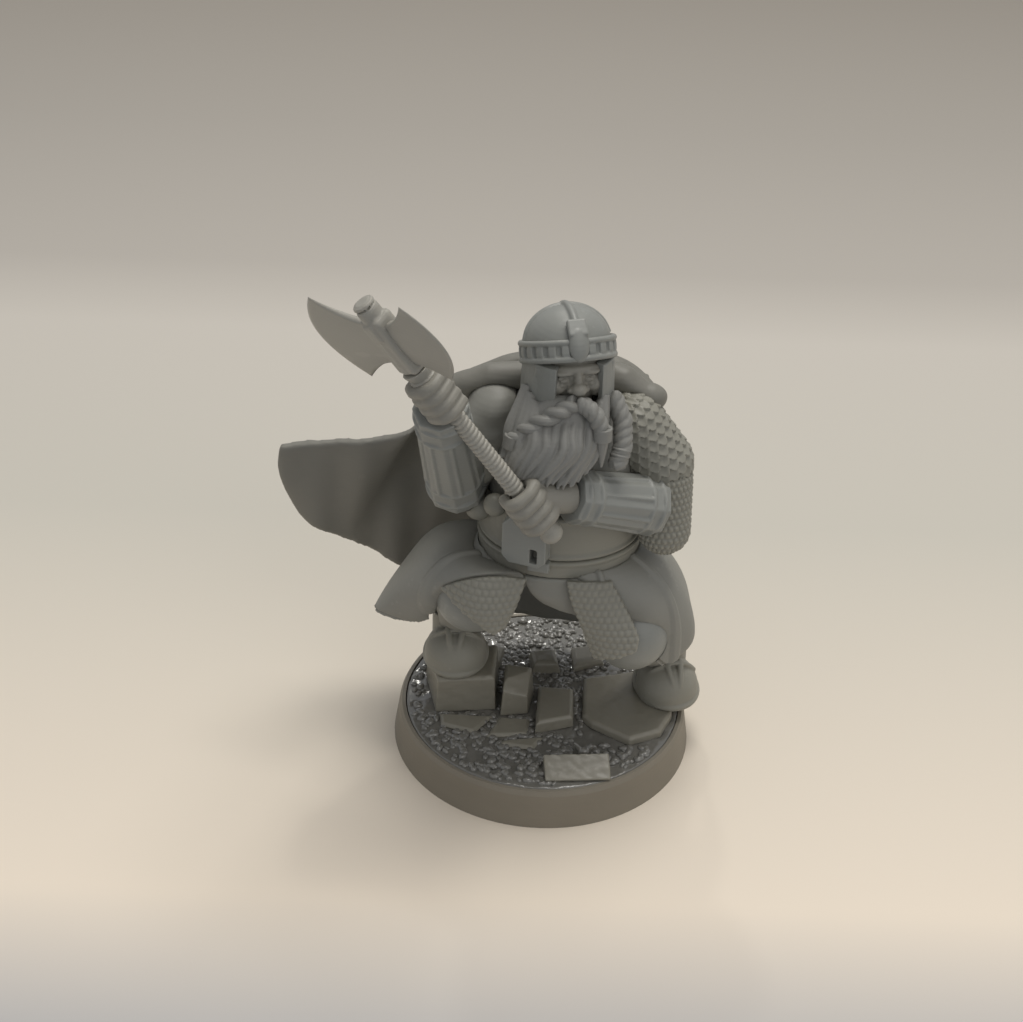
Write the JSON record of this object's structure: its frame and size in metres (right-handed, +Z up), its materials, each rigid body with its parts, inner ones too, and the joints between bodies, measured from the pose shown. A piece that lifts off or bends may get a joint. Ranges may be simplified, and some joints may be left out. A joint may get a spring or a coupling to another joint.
{
  "type": "tabletop miniature figure",
  "caption": "Dwarf warrior tabletop miniature in bare grey resin, holding a double-bladed axe in both hands and stepping onto a stone, on a round scenic base.",
  "frame": {"origin": "centre of the round base's flat underside", "axes": "+Z up through the figure, -Y towards the front where the figure faces, +X towards the figure's left"},
  "size_m": [0.0354, 0.0256, 0.0464],
  "materials": {
    "base": "satin bare grey resin",
    "ground": "glossy wet-looking grey resin",
    "stone": "satin bare grey resin",
    "cloth": "satin bare grey resin",
    "cloak": "dull dark grey resin",
    "mail": "satin bare grey resin",
    "armour": "satin bare grey resin",
    "leather": "satin bare grey resin",
    "skin": "satin bare grey resin",
    "hair": "satin bare grey resin",
    "weapon": "thin, slightly translucent grey resin"
  },
  "bodies": {
    "root": {"base_plinth": "base", "base_ground": "ground", "pebbles": "ground", "sprout": "ground", "step_block": "stone", "pointed_stone": "stone", "cube_stone": "stone", "flagstone": "stone", "wedge_brick": "stone", "low_slabs": "stone", "rear_rocks": "stone", "torso": "cloth", "under_tunic": "cloth", "hips": "cloth", "right_thigh": "cloth", "left_thigh": "cloth", "right_shin": "cloth", "left_shin": "cloth", "right_upper_arm": "cloth", "skirt_left": "cloth", "skirt_right": "cloth", "cloak": "cloak", "collar_right": "cloak", "collar_left": "cloak", "left_upper_arm": "mail", "left_sleeve": "mail", "mail_flap_right": "mail", "mail_flap_left": "mail", "neck_guard": "mail", "helmet_band": "armour", "helmet_bowl": "armour", "helmet_boss": "armour", "right_cheek_guard": "armour", "left_cheek_guard": "armour", "right_knee_guard": "armour", "left_knee_guard": "armour", "right_bracer": "armour", "left_bracer": "armour", "buckle_plate": "armour", "buckle_tongue": "armour", "belt_rim": "leather", "belt_wide": "leather", "right_boot": "leather", "left_boot": "leather", "side_pouches": "leather", "head": "skin", "right_hand": "skin", "left_hand": "skin", "beard": "hair", "moustache_right": "hair", "moustache_left": "hair", "side_braid": "hair", "braid_clasps": "hair", "axe_shaft": "weapon", "axe_pommel": "weapon", "axe_head": "weapon", "axe_collar": "weapon"}
  },
  "joints": []
}
